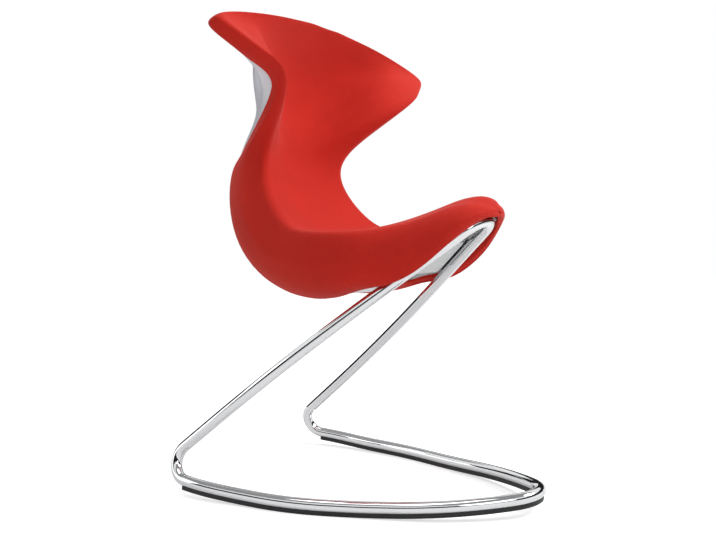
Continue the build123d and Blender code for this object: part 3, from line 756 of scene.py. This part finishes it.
def seen_ray(tree, mirrored=1.0):
    """1 for rays of the camera and through glass, a share for mirrors, 0 for others."""
    path = tree.nodes.new("ShaderNodeLightPath")
    dimmed = math_node(tree, "ShaderNodeMath", "MULTIPLY")
    first = math_node(tree, "ShaderNodeMath", "MAXIMUM")
    second = math_node(tree, "ShaderNodeMath", "MAXIMUM")
    tree.links.new(path.outputs["Is Glossy Ray"], dimmed.inputs[0])
    dimmed.inputs[1].default_value = mirrored
    tree.links.new(path.outputs["Is Camera Ray"], first.inputs[0])
    tree.links.new(dimmed.outputs[0], first.inputs[1])
    tree.links.new(first.outputs[0], second.inputs[0])
    tree.links.new(path.outputs["Is Transmission Ray"], second.inputs[1])
    return second.outputs[0]


floor_tree = floor_material.node_tree
floor_place = floor_tree.nodes.new("ShaderNodeTexCoord")
floor_reach = math_node(floor_tree, "ShaderNodeVectorMath", "LENGTH")
link(floor_material, floor_place.outputs["Object"], floor_reach.inputs[0])
floor_glow = node(
    floor_material, "ShaderNodeMapRange",
    From_Min=FLOOR_GLOW_RUN[0], From_Max=FLOOR_GLOW_RUN[1],
    To_Min=FLOOR_GLOW[0], To_Max=FLOOR_GLOW[1],
)
link(floor_material, floor_reach.outputs["Value"], floor_glow.inputs["Value"])
floor_seen = math_node(floor_tree, "ShaderNodeMath", "MULTIPLY")
link(floor_material, floor_glow.outputs["Result"], floor_seen.inputs[0])
link(floor_material, seen_ray(floor_tree, FLOOR_MIRRORED), floor_seen.inputs[1])
link(floor_material, floor_seen.outputs[0], floor_shader.inputs["Emission Strength"])
floor_side = floor_tree.nodes.new("ShaderNodeNewGeometry")
floor_clear = floor_tree.nodes.new("ShaderNodeBsdfTransparent")
floor_sides = floor_tree.nodes.new("ShaderNodeMixShader")
link(floor_material, floor_side.outputs["Backfacing"], floor_sides.inputs[0])
link(floor_material, floor_shader.outputs[0], floor_sides.inputs[1])
link(floor_material, floor_clear.outputs[0], floor_sides.inputs[2])
link(floor_material, floor_sides.outputs[0], floor_tree.nodes["Material Output"].inputs["Surface"])
floor.data.materials.append(floor_material)


# Light

def soft_light(name, spot, target, size, power):
    """A large square studio light that points at a target."""
    data = bpy.data.lights.new(name, "AREA")
    data.shape, data.size, data.energy = "SQUARE", size, power
    lamp = bpy.data.objects.new(name, data)
    lamp.location = spot
    lamp.rotation_euler = (Vector(target) - Vector(spot)).to_track_quat("-Z", "Y").to_euler()
    bpy.context.scene.collection.objects.link(lamp)


soft_light("key_light", (1.4, -2.2, 2.5), (0, 0, 0.55), 1.2, 70)
soft_light("top_light", (-0.3, 0.1, 3.2), (0, 0, 0.4), 1.8, 28)
soft_light("side_light", (-1.7, -2.3, 1.3), (0, 0, 0.5), 1.2, 11)
soft_light("rim_light", (-1.4, 2.2, 1.0), (0, 0, 0.5), 1.2, 8)


def studio_card(name, level):
    """Material of a card that shows one grey level and takes no light."""
    material, shader = new_material(name, (level, level, level), 0.9)
    grain = noise(material, 2.0, 2.0)
    color = color_ramp(material, grain.outputs["Fac"], [
        (0.3, (level * CARD_SHADE,) * 3), (0.7, (level,) * 3),
    ])
    link(material, color, shader.inputs["Emission Color"])
    shader.inputs["Base Color"].default_value = (0, 0, 0, 1)
    shader.inputs["Specular IOR Level"].default_value = 0.0
    shader.inputs["Emission Strength"].default_value = 1.0
    return material


def mirror_only(thing, material):
    """Keep a card of the studio out of everything but reflections."""
    thing.data.materials.append(material)
    thing.visible_camera = thing.visible_diffuse = thing.visible_shadow = False
    thing.visible_transmission = False


# A dark band and a grey ceiling round the studio. They show in the chrome
# alone, as its dark lines and its grey tops.
BAND_RADIUS, BAND_FOOT, BAND_TOP = 3.0, 0.42, 1.5
CEILING_HALF, CEILING_HEIGHT = 3.6, 3.7
BAND_LEVEL, CEILING_LEVEL = 0.02, 0.34
CARD_SHADE = 0.92           # the darker tone of a card's grain
turns = np.linspace(0, 2 * pi, 49)
band_circle = BAND_RADIUS * np.stack([np.cos(turns), np.sin(turns)], 1)
band_rows = [
    np.column_stack([band_circle, np.full(len(turns), z)]) for z in (BAND_FOOT, BAND_TOP)
]
mirror_only(grid_object("dark_band", band_rows), studio_card("band_cloth", BAND_LEVEL))
ceiling_line = np.linspace(-CEILING_HALF, CEILING_HALF, 5)
ceiling_rows = [[(x, y, CEILING_HEIGHT) for y in ceiling_line] for x in ceiling_line]
mirror_only(grid_object("grey_ceiling", ceiling_rows), studio_card("ceiling_cloth", CEILING_LEVEL))

# Surroundings: white to the camera and in the chrome, and a soft grey light
SKY_LEVEL = 0.3
world = bpy.data.worlds.new("studio")
bpy.context.scene.world = world
world.use_nodes = True
tree = world.node_tree
tree.nodes.clear()
soft_sky = tree.nodes.new("ShaderNodeBackground")
soft_sky.inputs["Color"].default_value = (0.95, 0.97, 1.0, 1)
soft_sky.inputs["Strength"].default_value = SKY_LEVEL
white_sky = tree.nodes.new("ShaderNodeBackground")
white_sky.inputs["Color"].default_value = (1, 1, 1, 1)
sky = tree.nodes.new("ShaderNodeMixShader")
tree.links.new(seen_ray(tree), sky.inputs[0])
tree.links.new(soft_sky.outputs[0], sky.inputs[1])
tree.links.new(white_sky.outputs[0], sky.inputs[2])
output = tree.nodes.new("ShaderNodeOutputWorld")
tree.links.new(sky.outputs[0], output.inputs["Surface"])

# Camera at the photograph's viewing angle
CAMERA_PLACE = Vector((-1.3922, -0.7835, 0.4544))
CAMERA_YAW = 30.755         # degrees from +X towards +Y
CAMERA_PITCH = 2.33         # degrees down
CAMERA_ROLL = -0.127
IMAGE_WIDTH, FOCAL_PIXELS, SENSOR_WIDTH = 716, 897.3, 36.0
camera_data = bpy.data.cameras.new("camera")
camera_data.sensor_fit = "HORIZONTAL"
camera_data.sensor_width = SENSOR_WIDTH
camera_data.lens = SENSOR_WIDTH * FOCAL_PIXELS / IMAGE_WIDTH
camera_data.clip_end = 50
camera = bpy.data.objects.new("camera", camera_data)
yaw, pitch, roll = (radians(a) for a in (CAMERA_YAW, CAMERA_PITCH, CAMERA_ROLL))
ahead = Vector((cos(yaw) * cos(pitch), sin(yaw) * cos(pitch), -sin(pitch)))
level = ahead.cross(Vector((0, 0, 1))).normalized()
upright = level.cross(ahead)
right = level * cos(roll) + upright * sin(roll)
top = upright * cos(roll) - level * sin(roll)
turned = Matrix((right, top, -ahead)).transposed().to_4x4()
camera.matrix_world = Matrix.Translation(CAMERA_PLACE) @ turned
bpy.context.scene.collection.objects.link(camera)
bpy.context.scene.camera = camera
bpy.context.scene.view_settings.view_transform = "Standard"
